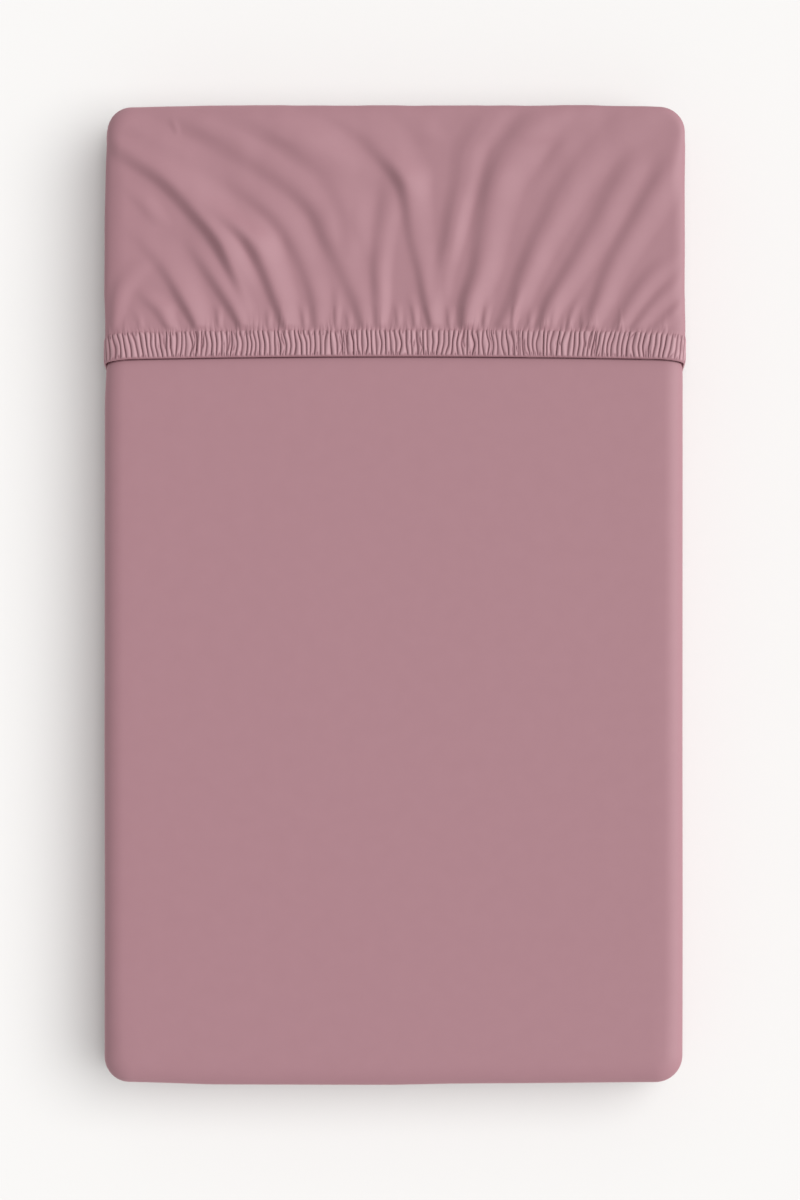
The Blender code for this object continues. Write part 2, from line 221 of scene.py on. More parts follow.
def makePiece(name, cloth, material):
    points = np.concatenate(cloth["points"])
    flat = np.concatenate(cloth["flat"])
    mesh = bpy.data.meshes.new(name)
    mesh.from_pydata(points.tolist(), [], cloth["faces"])
    layer = mesh.uv_layers.new(name="flatCloth")
    corner = np.empty(len(mesh.loops), dtype=np.int32)
    mesh.loops.foreach_get("vertex_index", corner)
    layer.data.foreach_set("uv", flat[corner].ravel())
    # per point: painted shade where below zero, painted highlight where above
    tone = mesh.attributes.new("paintedLightTone", "FLOAT", "POINT")
    tone.data.foreach_set("value", np.concatenate(cloth["tone"]).astype(np.float32))
    sewn = bmesh.new()
    sewn.from_mesh(mesh)
    bmesh.ops.remove_doubles(sewn, verts=sewn.verts, dist=mergeDistance)
    sewn.to_mesh(mesh)
    sewn.free()
    mesh.shade_smooth()
    mesh.materials.append(material)
    piece = bpy.data.objects.new(name, mesh)
    bpy.context.scene.collection.objects.link(piece)
    return piece


# Materials
clothLook = {
    "name": "dusty rose cotton",
    "base": (0.385, 0.199, 0.228),
    "deep": (0.365, 0.186, 0.214),
    "paintedShade": (0.105, 0.030, 0.043),  # painted shade: in the grooves of the gathers, inside the hem and along its edge
    "paintedHighlight": (0.52, 0.31, 0.34),  # painted highlight on the tops of the gathers
    "roughness": 0.62,
    "specular": 0.5,
    "sheen": 0.20,
    "sheenRoughness": 0.45,
    "sheenTint": (1.0, 0.45, 0.5, 1.0),
    "slubScale": 55.0,  # thicker and thinner places in the yarn
    "slubDetail": 4.0,
    "threadPitch": 0.0004,
    "threadTone": 1.2,  # how much the weave shows in the colour
    "threadWaver": 0.6,
    "waverDetail": 1.0,
    "waverScale": 0.4,
    "bump": 0.35,
    "bumpDepth": 0.00008,
}

tickingLook = {
    **clothLook,
    "name": "white ticking",
    "base": (0.80, 0.79, 0.76),
    "deep": (0.72, 0.71, 0.68),
    "sheen": 0.05,
    "threadPitch": 0.0007,
}

threadLook = {
    "name": "dusty rose thread",
    "base": (0.42, 0.225, 0.255),
    "deep": (0.30, 0.145, 0.170),
    "roughness": 0.55,
    "fibreScale": 1400.0,
    "fibreDetail": 2.0,
    "bumpDepth": 0.00006,
}


def newMaterial(name):
    material = bpy.data.materials.new(name)
    material.use_nodes = True
    nodes = material.node_tree.nodes
    return material, nodes, material.node_tree.links, nodes["Principled BSDF"]


def addNode(nodes, kind, **settings):
    node = nodes.new(kind)
    for name, value in settings.items():
        setattr(node, name, value)
    return node


def setInputs(node, values):
    for name, value in values.items():
        node.inputs[name].default_value = value


def toneBetween(nodes, look):
    tone = addNode(nodes, "ShaderNodeMix", data_type="RGBA")
    setInputs(tone, {"A": (*look["deep"], 1.0), "B": (*look["base"], 1.0)})
    return tone


# One wave spans two threads: a wave texture of scale 1 runs through 20 radians in a metre
def weaveHeight(nodes, links, look):
    place = addNode(nodes, "ShaderNodeUVMap", uv_map="flatCloth")
    waves = []
    for direction in ("X", "Y"):
        wave = addNode(nodes, "ShaderNodeTexWave", wave_type="BANDS", bands_direction=direction)
        setInputs(wave, {
            "Scale": math.pi / (20 * look["threadPitch"]),
            "Distortion": look["threadWaver"],
            "Detail": look["waverDetail"],
            "Detail Scale": look["waverScale"],
        })
        links.new(place.outputs["UV"], wave.inputs["Vector"])
        centred = addNode(nodes, "ShaderNodeMath", operation="SUBTRACT")
        centred.inputs[1].default_value = 0.5
        links.new(wave.outputs["Fac"], centred.inputs[0])
        waves.append(centred)
    over = addNode(nodes, "ShaderNodeMath", operation="MULTIPLY")
    links.new(waves[0].outputs[0], over.inputs[0])
    links.new(waves[1].outputs[0], over.inputs[1])
    return place, over


# mixes painted shade and painted highlight into the colour, by each point's tone
def paintedLightColour(nodes, links, look, colour):
    paintedLight = addNode(nodes, "ShaderNodeAttribute", attribute_name="paintedLightTone")
    for end, sign in (("paintedShade", -1.0), ("paintedHighlight", 1.0)):
        share = addNode(nodes, "ShaderNodeMath", operation="MULTIPLY", use_clamp=True)
        share.inputs[1].default_value = sign
        links.new(paintedLight.outputs["Fac"], share.inputs[0])
        mixed = addNode(nodes, "ShaderNodeMix", data_type="RGBA")
        links.new(share.outputs[0], mixed.inputs["Factor"])
        links.new(colour, mixed.inputs["A"])
        mixed.inputs["B"].default_value = (*look[end], 1.0)
        colour = mixed.outputs["Result"]
    return colour


def makeClothMaterial(look):
    material, nodes, links, shader = newMaterial(look["name"])
    setInputs(shader, {
        "Roughness": look["roughness"],
        "Sheen Weight": look["sheen"],
        "Sheen Roughness": look["sheenRoughness"],
        "Sheen Tint": look["sheenTint"],
        "Specular IOR Level": look["specular"],
    })
    place, weave = weaveHeight(nodes, links, look)
    slubs = addNode(nodes, "ShaderNodeTexNoise")
    setInputs(slubs, {"Scale": look["slubScale"], "Detail": look["slubDetail"]})
    links.new(place.outputs["UV"], slubs.inputs["Vector"])
    shade = addNode(nodes, "ShaderNodeMath", operation="MULTIPLY_ADD")
    shade.inputs[1].default_value = look["threadTone"]
    links.new(weave.outputs[0], shade.inputs[0])
    links.new(slubs.outputs["Fac"], shade.inputs[2])
    tone = toneBetween(nodes, look)
    links.new(shade.outputs[0], tone.inputs["Factor"])
    links.new(paintedLightColour(nodes, links, look, tone.outputs["Result"]), shader.inputs["Base Color"])
    bump = addNode(nodes, "ShaderNodeBump")
    setInputs(bump, {"Strength": look["bump"], "Distance": look["bumpDepth"]})
    links.new(weave.outputs[0], bump.inputs["Height"])
    links.new(bump.outputs["Normal"], shader.inputs["Normal"])
    return material


def makeThreadMaterial(look):
    material, nodes, links, shader = newMaterial(look["name"])
    shader.inputs["Roughness"].default_value = look["roughness"]
    place = addNode(nodes, "ShaderNodeTexCoord")
    fibre = addNode(nodes, "ShaderNodeTexNoise")
    setInputs(fibre, {"Scale": look["fibreScale"], "Detail": look["fibreDetail"]})
    links.new(place.outputs["Object"], fibre.inputs["Vector"])
    tone = toneBetween(nodes, look)
    links.new(fibre.outputs["Fac"], tone.inputs["Factor"])
    links.new(tone.outputs["Result"], shader.inputs["Base Color"])
    bump = addNode(nodes, "ShaderNodeBump")
    bump.inputs["Distance"].default_value = look["bumpDepth"]
    links.new(fibre.outputs["Fac"], bump.inputs["Height"])
    links.new(bump.outputs["Normal"], shader.inputs["Normal"])
    return material


cotton = makeClothMaterial(clothLook)
thread = makeThreadMaterial(threadLook)
ticking = makeClothMaterial(tickingLook)
print("materials made")

# Mattress and smooth cover: a rounded box of rows that run round its rim, with a grid for each flat side
box = {
    "edgeSteps": 8,
    "wallSteps": 10,
    "bottomSteps": 5,
    "backStep": 0.012,
}


def evenly(low, high, step):
    return np.linspace(low, high, max(round((high - low) / step), 1) + 1)


def aroundRim(columns, rows, cornerSteps):
    turns = np.linspace(0, math.pi / 2, cornerSteps + 1)[1:-1]
    sides = [
        (columns, np.full(columns.size, headLine), math.pi / 2),
        (np.full(rows.size, halfFace), rows[::-1], 0.0),
        (columns[::-1], np.full(columns.size, footLine), -math.pi / 2),
        (np.full(rows.size, -halfFace), rows, -math.pi),
    ]
    across, along, facing = [], [], []
    for sideX, sideY, angle in sides:
        across += [sideX, np.full(turns.size, sideX[-1])]
        along += [sideY, np.full(turns.size, sideY[-1])]
        facing += [np.full(sideX.size, angle), angle - turns]
    across, along, facing = [np.concatenate(values) for values in (across, along, facing)]
    return [np.append(values, values[0]) for values in (across, along, np.cos(facing), np.sin(facing))]


def downSteps():
    edge = np.linspace(flatRim, wallTop, box["edgeSteps"] + 1)
    wall = np.linspace(wallTop, wallEnd, box["wallSteps"] + 1)[1:]
    bottom = np.linspace(wallEnd, bottomEnd, box["bottomSteps"] + 1)[1:]
    backRim = bottomEnd + shape["cornerRadius"] - shape["bottomRadius"]
    return np.concatenate([[0.0], edge, wall, bottom, [backRim]])


def noTone(across, along):
    return np.zeros(across.shape)


def addBox(cloth, columns, rows, cornerSteps, riseAt, backRise=0.0, headEnd=headLine + 1, toneAt=noTone):
    coreX, coreY, facingX, facingY = aroundRim(columns, rows, cornerSteps)
    downs = downSteps()[:, None]
    across = coreX + facingX * downs
    along = coreY + facingY * downs
    under = eased((downs - wallEnd) / (bottomEnd - wallEnd))  # the back lies flat
    rise = riseAt(across, along) * (1 - under) + backRise * under
    addRows(cloth, across, along, rise, toneAt(across, along) * (1 - under))
    faceX, faceY = np.meshgrid(columns, rows[rows < headEnd])
    addRows(cloth, faceX, faceY, riseAt(faceX, faceY), toneAt(faceX, faceY))
    backX, backY = np.meshgrid(columns[::-1], evenly(footLine, headLine, box["backStep"]))
    x, y = drawIn(backX, backY)
    numbers = addPoints(cloth, np.stack([x, y, 0 * x - backRise], -1), backX, backY)
    joinRows(cloth, numbers)


pad = {
    "step": 0.02,
    "cornerSteps": 10,
    "crown": 0.0004,  # slack of the ticking
    "crownWide": 0.05,
    "press": 0.0012,  # how deep the hem presses into the ticking
}

cover = {
    "step": 0.012,
    "fineStep": 0.0009,  # near the hem
    "fineAhead": 0.018,
    "fineBehind": 0.003,
    "cornerSteps": 14,
    "lapEnd": 0.2922,  # the smooth cloth ends here, under the pocket
    "trayHeight": 0.020,  # the back is turned up this far inside the pocket
    # faint unevenness of the taut cloth
    "slack": 0.00020,
    "slackAcross": 0.11,
    "slackAlong": 0.16,
    # the sides swell
    "sideFill": 0.0001,
    "sideFrom": 0.014,
    "sideLong": 0.03,
    # the foot end swells more
    "footBow": 0.0012,
    "footBowAt": -0.05,
    "footBowWidth": 0.30,
    "footFrom": 0.01,
    "footLong": 0.03,
    "footEnd": 0.02,
    # the elastic presses into the mattress, up to this share of the band
    "press": 0.0014,
    "pressReach": 0.0045,
    "pressShare": 0.6,
    # painted shadow: a dark line along the hem, and fainter painted shade ahead of it
    "lineDark": 1.6,
    "lineWide": 0.0010,
    "shadeDark": 0.1,
    "shadeWide": 0.004,
}

hem = {
    "edgeAt": 0.2461,  # edge of the hem at the middle of the face
    "band": 0.0268,
    "bow": 0.0026,  # the hem sags towards the foot by the edge of the face
    "drop": 0.0150,  # and more down the wall
    "base": 0.0007,  # the grooves between gathers, above the pocket's own cloth
    "crownDip": 0.25,  # share by which that is less at the band's edges
    "wallHeld": 0.55,  # share of the relief left where the hem is tight on the wall
    "columns": 1280,
    "rows": 19,
    "rowsFrom": 0.0012,
    # up the inside of the hem, then round its edge: place across the band, rise
    "lipRows": [
        (0.0140, -0.0007), (0.0050, -0.0007), (0.0018, -0.0006), (0.0007, -0.0002), (0.0001, 0.0006),
        (-0.0002, 0.0018), (0.0000, 0.0028), (0.0005, 0.0034),
    ],
    "lipDark": 0.8,  # painted shade on the inside of the hem
    "lipShadeTo": 0.001,
    "lipOnWall": 0.0010,  # rise of the edge where the hem is tight
    "lipFrom": 0.0004,  # the gathers rise from the edge over this stretch
    "lipLong": 0.0020,
    "lipLow": 0.15,
    "lipRise": 0.0012,
    "seamLong": 0.005,  # the cloth goes down into the seam over this length
    "seamSunk": 0.0004,
}


def hemLine(across):
    onFace = np.minimum(np.abs(across) / halfFace, 1.0)
    over = eased((np.abs(across) - halfFace) / seamDown)
    return hem["edgeAt"] - hem["bow"] * onFace ** 2 - hem["drop"] * over


def pressed(across, along):
    ahead = hemLine(across) - along
    kept = cover["pressShare"] * hem["band"]
    behind = eased(1 - (-ahead - kept) / ((1 - cover["pressShare"]) * hem["band"]))
    return np.where(ahead > 0, np.exp(-np.abs(ahead) / cover["pressReach"]), behind)


def padRise(across, along):
    uneven = softNoise(across / pad["crownWide"], along / pad["crownWide"], seeds["ticking"])
    slack = pad["crown"] * (1 + uneven)
    return -shape["clothRise"] - pad["press"] * pressed(across, along) - slack


def coverRise(across, along):
    uneven = softNoise(across / cover["slackAcross"], along / cover["slackAlong"], seeds["slack"])
    slack = cover["slack"] * (1 + uneven)
    down = footLine - along
    past = eased((down - cover["footFrom"]) / cover["footLong"])
    past = past * eased((wallEnd - down) / cover["footEnd"])
    bow = 1 - ((across - cover["footBowAt"]) / cover["footBowWidth"]) ** 2
    beside = eased((np.abs(across) - halfFace - cover["sideFrom"]) / cover["sideLong"])
    swell = cover["footBow"] * np.clip(bow, 0, 1) * past + cover["sideFill"] * beside
    return slack + swell - cover["press"] * pressed(across, along)


# painted shadow on the cover: a dark line along the hem's edge, and fainter painted shade ahead of it
def paintedShadowUnderHem(across, along):
    ahead = hemLine(across) - along
    line = -cover["lineDark"] * np.exp(-(ahead / cover["lineWide"]) ** 2)
    return np.where(ahead > 0, line - cover["shadeDark"] * np.exp(-ahead / cover["shadeWide"]), 0)


def makeMattress():
    ticked = newCloth()
    columns = evenly(-halfFace, halfFace, pad["step"])
    rows = evenly(footLine, headLine, pad["step"])
    addBox(ticked, columns, rows, pad["cornerSteps"], padRise, backRise=-shape["clothRise"])
    return makePiece("mattressPad", ticked, ticking)


def layCover(cloth):
    fineFrom, fineTo = hem["edgeAt"] - cover["fineAhead"], hem["edgeAt"] + cover["fineBehind"]
    rows = np.concatenate([
        evenly(footLine, fineFrom, cover["step"]),
        evenly(fineFrom, fineTo, cover["fineStep"])[1:],
        evenly(fineTo, headLine, cover["step"])[1:],
    ])
    columns = evenly(-halfFace, halfFace, cover["step"])
    headEnd = cover["lapEnd"] + cover["step"]
    addBox(cloth, columns, rows, cover["cornerSteps"], coverRise, headEnd=headEnd, toneAt=paintedShadowUnderHem)
    points = np.concatenate(cloth["points"])
    kept = []
    for face in cloth["faces"]:
        middle = points[face].mean(axis=0)
        if middle[1] < cover["lapEnd"] or middle[2] < cover["trayHeight"]:
            kept.append(face)
    cloth["faces"] = kept


mattressPad = makeMattress()
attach(mattressPad, "root")
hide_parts("mattress")
print("mattress made")

sheetCloth = newCloth()
layCover(sheetCloth)
print("smooth cover laid:", len(sheetCloth["faces"]), "faces")

# Folds of the pocket. Each is a ridge, steep on its left and gentle on its right. The points run up the
# middle of the steep side, from the hem to where the fold dies out, each with the share of the lift there.
foldTable = {
    # name: lift, steep, gentle, [(across, along, share), ...]
    "leftEdge": (0.0022, 0.008, 0.016, [
        (-0.297, 0.280, 0.75), (-0.293, 0.304, 1.00), (-0.283, 0.326, 0.90), (-0.266, 0.350, 0.00),
    ]),
    "leftLow": (0.0034, 0.007, 0.016, [
        (-0.237, 0.275, 0.75), (-0.247, 0.292, 1.00), (-0.257, 0.303, 0.80), (-0.268, 0.318, 0.00),
    ]),
    "leftSecond": (0.0060, 0.007, 0.026, [
        (-0.209, 0.279, 0.75), (-0.222, 0.304, 1.00), (-0.240, 0.335, 0.59), (-0.265, 0.366, 0.19),
        (-0.284, 0.385, 0.00),
    ]),
    "leftThird": (0.0057, 0.007, 0.025, [
        (-0.162, 0.279, 0.79), (-0.176, 0.304, 1.00), (-0.196, 0.335, 0.74), (-0.213, 0.361, 0.17),
        (-0.229, 0.379, 0.00),
    ]),
    "cornerLong": (0.0104, 0.0062, 0.028, [
        (-0.147, 0.279, 0.10), (-0.157, 0.304, 0.13), (-0.171, 0.335, 0.68), (-0.187, 0.366, 1.00),
        (-0.213, 0.397, 0.78), (-0.244, 0.428, 0.83), (-0.288, 0.459, 0.53), (-0.311, 0.474, 0.29),
    ]),
    "leftFourth": (0.0106, 0.007, 0.025, [
        (-0.116, 0.279, 0.37), (-0.125, 0.304, 0.51), (-0.138, 0.335, 0.66), (-0.155, 0.366, 1.00),
        (-0.184, 0.395, 0.25), (-0.204, 0.412, 0.00),
    ]),
    "leftFifth": (0.0042, 0.007, 0.02, [
        (-0.082, 0.279, 0.51), (-0.085, 0.304, 0.66), (-0.095, 0.335, 0.56), (-0.111, 0.366, 0.81),
        (-0.136, 0.397, 1.00), (-0.177, 0.428, 0.42), (-0.239, 0.459, 0.54), (-0.276, 0.480, 0.50),
        (-0.303, 0.492, 0.27),
    ]),
    "leftSweep": (0.0070, 0.008, 0.022, [
        (-0.034, 0.279, 0.40), (-0.042, 0.304, 0.49), (-0.056, 0.335, 0.38), (-0.072, 0.366, 0.62),
        (-0.087, 0.397, 0.78), (-0.122, 0.428, 0.72), (-0.173, 0.459, 0.89), (-0.209, 0.480, 0.97),
        (-0.255, 0.507, 0.31),
    ]),
    "topSweep": (0.0091, 0.009, 0.024, [
        (-0.047, 0.344, 0.00), (-0.049, 0.366, 0.30), (-0.054, 0.397, 0.46), (-0.070, 0.428, 0.37),
        (-0.107, 0.459, 1.00), (-0.140, 0.480, 0.98), (-0.204, 0.511, 0.29),
    ]),
    "upright": (0.0038, 0.007, 0.014, [
        (-0.018, 0.279, 0.76), (-0.019, 0.304, 1.00), (-0.020, 0.335, 0.83), (-0.018, 0.366, 0.66),
        (-0.014, 0.397, 0.60), (-0.008, 0.433, 0.00),
    ]),
    "middleSweep": (0.0084, 0.006, 0.019, [
        (0.037, 0.279, 0.38), (0.031, 0.304, 0.48), (0.025, 0.335, 0.37), (0.017, 0.366, 0.35),
        (0.012, 0.397, 0.54), (0.004, 0.428, 1.00), (-0.021, 0.459, 0.41), (-0.045, 0.480, 0.36),
        (-0.097, 0.511, 0.10),
    ]),
    "rightFirst": (0.0053, 0.008, 0.0125, [
        (0.041, 0.292, 0.00), (0.044, 0.315, 0.31), (0.046, 0.335, 0.34), (0.053, 0.366, 0.80),
        (0.058, 0.397, 0.80), (0.065, 0.428, 0.61), (0.069, 0.459, 0.62), (0.081, 0.480, 0.62),
        (0.097, 0.507, 0.30),
    ]),
    "rightSecond": (0.0070, 0.009, 0.023, [
        (0.070, 0.279, 0.71), (0.072, 0.304, 0.94), (0.082, 0.335, 0.76), (0.087, 0.366, 0.61),
        (0.091, 0.397, 0.65), (0.097, 0.428, 1.00), (0.110, 0.459, 0.77), (0.125, 0.480, 0.95),
        (0.151, 0.511, 0.40),
    ]),
    "rightThird": (0.0048, 0.009, 0.019, [
        (0.108, 0.279, 0.60), (0.120, 0.304, 0.80), (0.131, 0.335, 1.00), (0.144, 0.366, 0.94),
        (0.159, 0.397, 0.85), (0.175, 0.428, 0.75), (0.194, 0.459, 0.55), (0.214, 0.480, 0.45),
        (0.242, 0.511, 0.09),
    ]),
    "rightFourth": (0.0048, 0.008, 0.019, [
        (0.150, 0.279, 0.75), (0.159, 0.304, 1.00), (0.177, 0.335, 0.85), (0.195, 0.366, 0.70),
        (0.212, 0.397, 0.68), (0.228, 0.428, 0.84), (0.245, 0.459, 0.30), (0.253, 0.474, 0.00),
    ]),
    "rightFifth": (0.0061, 0.008, 0.02, [
        (0.198, 0.279, 0.53), (0.207, 0.304, 0.70), (0.218, 0.335, 0.60), (0.234, 0.366, 0.64),
        (0.251, 0.397, 0.70), (0.267, 0.428, 0.78), (0.284, 0.459, 0.40), (0.293, 0.474, 0.13),
    ]),
    "rightSixth": (0.0032, 0.008, 0.016, [
        (0.227, 0.276, 0.75), (0.243, 0.306, 1.00), (0.259, 0.329, 0.90), (0.280, 0.353, 0.00),
    ]),
    "rightSeventh": (0.0026, 0.007, 0.015, [
        (0.247, 0.276, 0.75), (0.261, 0.296, 1.00), (0.276, 0.313, 0.90), (0.295, 0.333, 0.00),
    ]),
    "rightEdge": (0.0020, 0.006, 0.014, [
        (0.268, 0.275, 0.75), (0.281, 0.288, 1.00), (0.293, 0.300, 0.90), (0.306, 0.312, 0.00),
    ]),
    "leftWall": (0.0012, 0.007, 0.016, [
        (-0.345, 0.268, 0.75), (-0.338, 0.310, 1.00), (-0.331, 0.355, 0.90), (-0.322, 0.400, 0.00),
    ]),
    "rightWall": (0.0012, 0.007, 0.016, [
        (0.335, 0.268, 0.75), (0.333, 0.305, 1.00), (0.328, 0.345, 0.90), (0.320, 0.385, 0.00),
    ]),
    "topFaint": (0.0014, 0.007, 0.012, [
        (0.030, 0.462, 0.00), (0.020, 0.476, 0.80), (0.012, 0.490, 0.80), (0.000, 0.508, 0.00),
    ]),
    "rightFaint": (0.0015, 0.005, 0.012, [
        (0.143, 0.415, 0.00), (0.156, 0.442, 0.80), (0.175, 0.474, 0.90), (0.200, 0.506, 0.00),
    ]),
    "leftFaint": (0.0018, 0.005, 0.010, [
        (-0.245, 0.378, 0.00), (-0.254, 0.391, 0.80), (-0.266, 0.406, 0.90), (-0.282, 0.424, 0.00),
    ]),
    "nick": (0.0009, 0.0014, 0.0018, [
        (-0.2285, 0.474, 0.00), (-0.2305, 0.481, 0.90), (-0.2335, 0.487, 0.90), (-0.237, 0.495, 0.00),
    ]),
}

# short ones right above the hem
shortFoldTable = [
    # across at the hem, across at the tip, along at the tip, lift
    (-0.265, -0.275, 0.297, 0.0009),
    (-0.184, -0.186, 0.301, 0.0013),
    (-0.132, -0.133, 0.297, 0.0012),
    (-0.094, -0.100, 0.304, 0.0012),
    (-0.061, -0.062, 0.318, 0.0013),
    (-0.048, -0.050, 0.294, 0.0010),
    (0.003, 0.000, 0.305, 0.0012),
    (0.021, 0.014, 0.312, 0.0015),
    (0.056, 0.055, 0.300, 0.0012),
    (0.092, 0.097, 0.313, 0.0014),
    (0.121, 0.129, 0.322, 0.0018),
    (0.138, 0.142, 0.296, 0.0013),
    (0.162, 0.168, 0.300, 0.0012),
    (0.179, 0.190, 0.309, 0.0015),
    (0.192, 0.196, 0.296, 0.0010),
]

fold = {
    # along, share of its width
    "wide": [(0.278, 0.6), (0.30, 0.85), (0.36, 1.05), (0.43, 1.35), (0.49, 1.7)],
    "samples": 16,  # read between two points of a fold
    # the folds flatten as the cloth turns over the rim, but for those on the walls
    "rimFrom": 0.020,
    "rimTo": 0.038,
    "rimLeft": 0.12,
    "wallFrom": 0.045,
    # the two sides of a crisp ridge
    "risingFrom": 1.7,
    "risingBend": 1.6,
    "fallingFrom": 0.3,
    "fallingBend": 2.0,
    "crestSoft": 0.35,
    "round": 0.8,  # share of a rounder ridge mixed into it
    # short folds
    "shortAlong": 0.276,
    "shortBend": 1.5,
    "shortSteep": 0.0036,
    "shortGentle": 0.0080,
    # part of the way up, share of the lift
    "shortShares": [(0.0, 0.8), (0.33, 1.0), (0.67, 0.6), (1.0, 0.0)],
}


def shortFold(acrossHem, acrossTip, alongTip, lift):
    points = []
    for part, share in fold["shortShares"]:
        across = acrossHem + (acrossTip - acrossHem) * part ** fold["shortBend"]
        along = fold["shortAlong"] + (alongTip - fold["shortAlong"]) * part
        points.append((across, along, share))
    return lift, fold["shortSteep"], fold["shortGentle"], points


allFolds = [*foldTable.values(), *(shortFold(*row) for row in shortFoldTable)]


def curveThrough(points, count):
    points = np.array(points, dtype=float)
    spans = len(points) - 1
    place = np.linspace(0, spans, count)
    span = np.minimum(place.astype(int), spans - 1)
    part = (place - span)[:, None]
    before, start = points[np.maximum(span - 1, 0)], points[span]
    end, after = points[span + 1], points[np.minimum(span + 2, spans)]
    bend = 2 * before - 5 * start + 4 * end - after
    twist = 3 * start - before - 3 * end + after
    return start + (end - before) * part / 2 + bend * part ** 2 / 2 + twist * part ** 3 / 2


def smoothLower(first, second, blend):
    share = np.clip(0.5 + 0.5 * (second - first) / blend, 0, 1)
    return second + (first - second) * share - blend * share * (1 - share)


def oneFold(row, across, along):
    lift, steep, gentle, points = row
    path = curveThrough(points, fold["samples"] * (len(points) - 1) + 1)
    ups = np.maximum.accumulate(path[:, 1] + 1e-6 * np.arange(len(path)))  # always rising
    reach = np.clip(along, ups[0], ups[-1])
    middle = np.interp(reach, ups, path[:, 0])
    slope = np.interp(reach, ups, np.gradient(path[:, 0], ups))
    share = np.interp(reach, ups, np.maximum(path[:, 2], 0))
    wide = valueAt(reach, fold["wide"])
    steep, gentle = steep * wide, gentle * wide
    off = (across - middle) / np.hypot(1.0, slope)
    rising = np.maximum((off + fold["risingFrom"] * steep) / (2 * steep), 0) ** fold["risingBend"]
    falling = np.maximum(1 - (off - fold["fallingFrom"] * steep) / gentle, 0) ** fold["fallingBend"]
    crisp = np.maximum(smoothLower(rising, falling, fold["crestSoft"]), 0)
    soft = np.minimum(eased((off + steep) / (2 * steep)), eased(1 - (off - steep) / gentle))
    ridge = crisp * (1 - fold["round"]) + soft * fold["round"]
    past = np.abs(along - reach)
    return lift * share * ridge * eased(1 - past / gentle)


def foldHeight(across, along):
    down = np.hypot(np.maximum(np.abs(across) - halfFace, 0), np.maximum(along - headLine, 0))
    atRim = eased((down - fold["rimFrom"]) / (fold["rimTo"] - fold["rimFrom"]))
    onWall = np.abs(across) > halfFace + fold["wallFrom"]
    held = np.where(onWall, 1.0, 1 - (1 - fold["rimLeft"]) * atRim)
    return held * sum(oneFold(row, across, along) for row in allFolds)


# Pocket: the gathered hem, and the folded cloth that it draws in
pocket = {
    "rise": 0.0018,  # a second layer of cloth over the first
    "puff": 0.0016,  # the cloth swells where the hem lets it go
    "puffFrom": 0.008,
    "puffLong": 0.030,
    "baseLong": 0.006,  # the band's own thickness ends over this length
    "foldsFrom": -0.004,  # past the band
    "foldsLong": 0.012,
    "wrinkle": 0.0004,
    "wrinkleAcross": 0.020,
    "wrinkleAlong": 0.045,
    "wrinkleFrom": 0.02,
    "rows": 60,
    "coarser": 4,  # one column to this many of the band
    "tailRows": 10,  # as fine as the band
    "tailReach": 0.024,
    "tailBend": 1.4,
    "cornerSteps": 12,
}

gather = {
    "rise": 0.0031,  # above the grooves
    "pitch": 0.0052,
    "fan": 0.011,  # how far the gathers lean out towards the sides
    "bend": 0.4,  # plump gathers with narrow grooves
    "uneven": 0.20,  # in height
    "unevenAcross": 0.006,
    "unevenAlong": 0.018,
    "sways": [  # how far the grooves wander, over what width, over what length, seed
        (0.0016, 0.007, 0.013, 3),
        (0.0020, 0.023, 0.030, 5),
    ],
    "grooveWide": 0.41,  # width of the painted shade in a groove
    # painted highlight on the tops of the gathers: from this height of a ridge, and how strong
    "paintedHighlightFrom": 0.6,
    "paintedHighlightTone": 0.8,
    # the gathers stop short of the stitches or run past them
    "endPast": 0.0018,
    "endUneven": 0.0016,
    "endAcross": 0.0042,
    "endLong": 0.0035,
    "endLow": 0.5,
    # share of the painted shade and painted highlight left where the gathers end
    "endTone": 0.25,
    # how far they run on past the stitches
    "tailLong": 0.014,
    "tailShort": 0.15,
    "tailAcross": 0.0065,
    "tailRare": 1.5,
    "tailBend": 1.3,
    "tailShare": 0.5,
    "tailHold": 0.03,
    # how the columns of the mesh follow the grooves, but run straight by the seam
    "followTries": 30,
    "followShare": 0.6,
    "followEnd": 0.02,
}

# fine creases that split a gather in two, in patches and near both edges of the band
split = {
    "deep": 0.75,
    "drift": 1.3,
    "driftAcross": 0.006,
    "driftAlong": 0.009,
    "patchAcross": 0.009,
    "patchAlong": 0.014,
    "patchSharp": 3.0,
    "patchRare": 0.42,
    "atEdge": 2.2,
    "atStitches": 1.3,
    "edgeReach": 0.006,
    # painted shade in the split creases: its width, and how dark
    "grooveWide": 0.30,
    "dark": 0.5,
}

fineColumns = np.linspace(-seamAt, seamAt, hem["columns"] + 1)
coarseColumns = fineColumns[::pocket["coarser"]]
cornerTurns = np.linspace(0, math.pi / 2, pocket["cornerSteps"] + 1)


def heldAt(across):
    return 1 - (1 - hem["wallHeld"]) * eased((np.abs(across) - halfFace) / wallTop)


def swayAt(across, place):
    sway = 0
    for far, wide, long, seed in gather["sways"]:
        sway = sway + far * softNoise(across / wide, place / long, seed)
    return sway


def fanAt(place):
    return 1 - gather["fan"] * (place / hem["band"]) ** 2


# Where each column of the mesh lies at this place of the band, so that it keeps to one side of its groove
def alongGathers(columns, place):
    across = columns
    for attempt in range(gather["followTries"]):
        nearer = (columns - swayAt(across, place)) / fanAt(place)
        across = across + gather["followShare"] * (nearer - across)
    return columns + (across - columns) * eased((seamAt - np.abs(columns)) / gather["followEnd"])


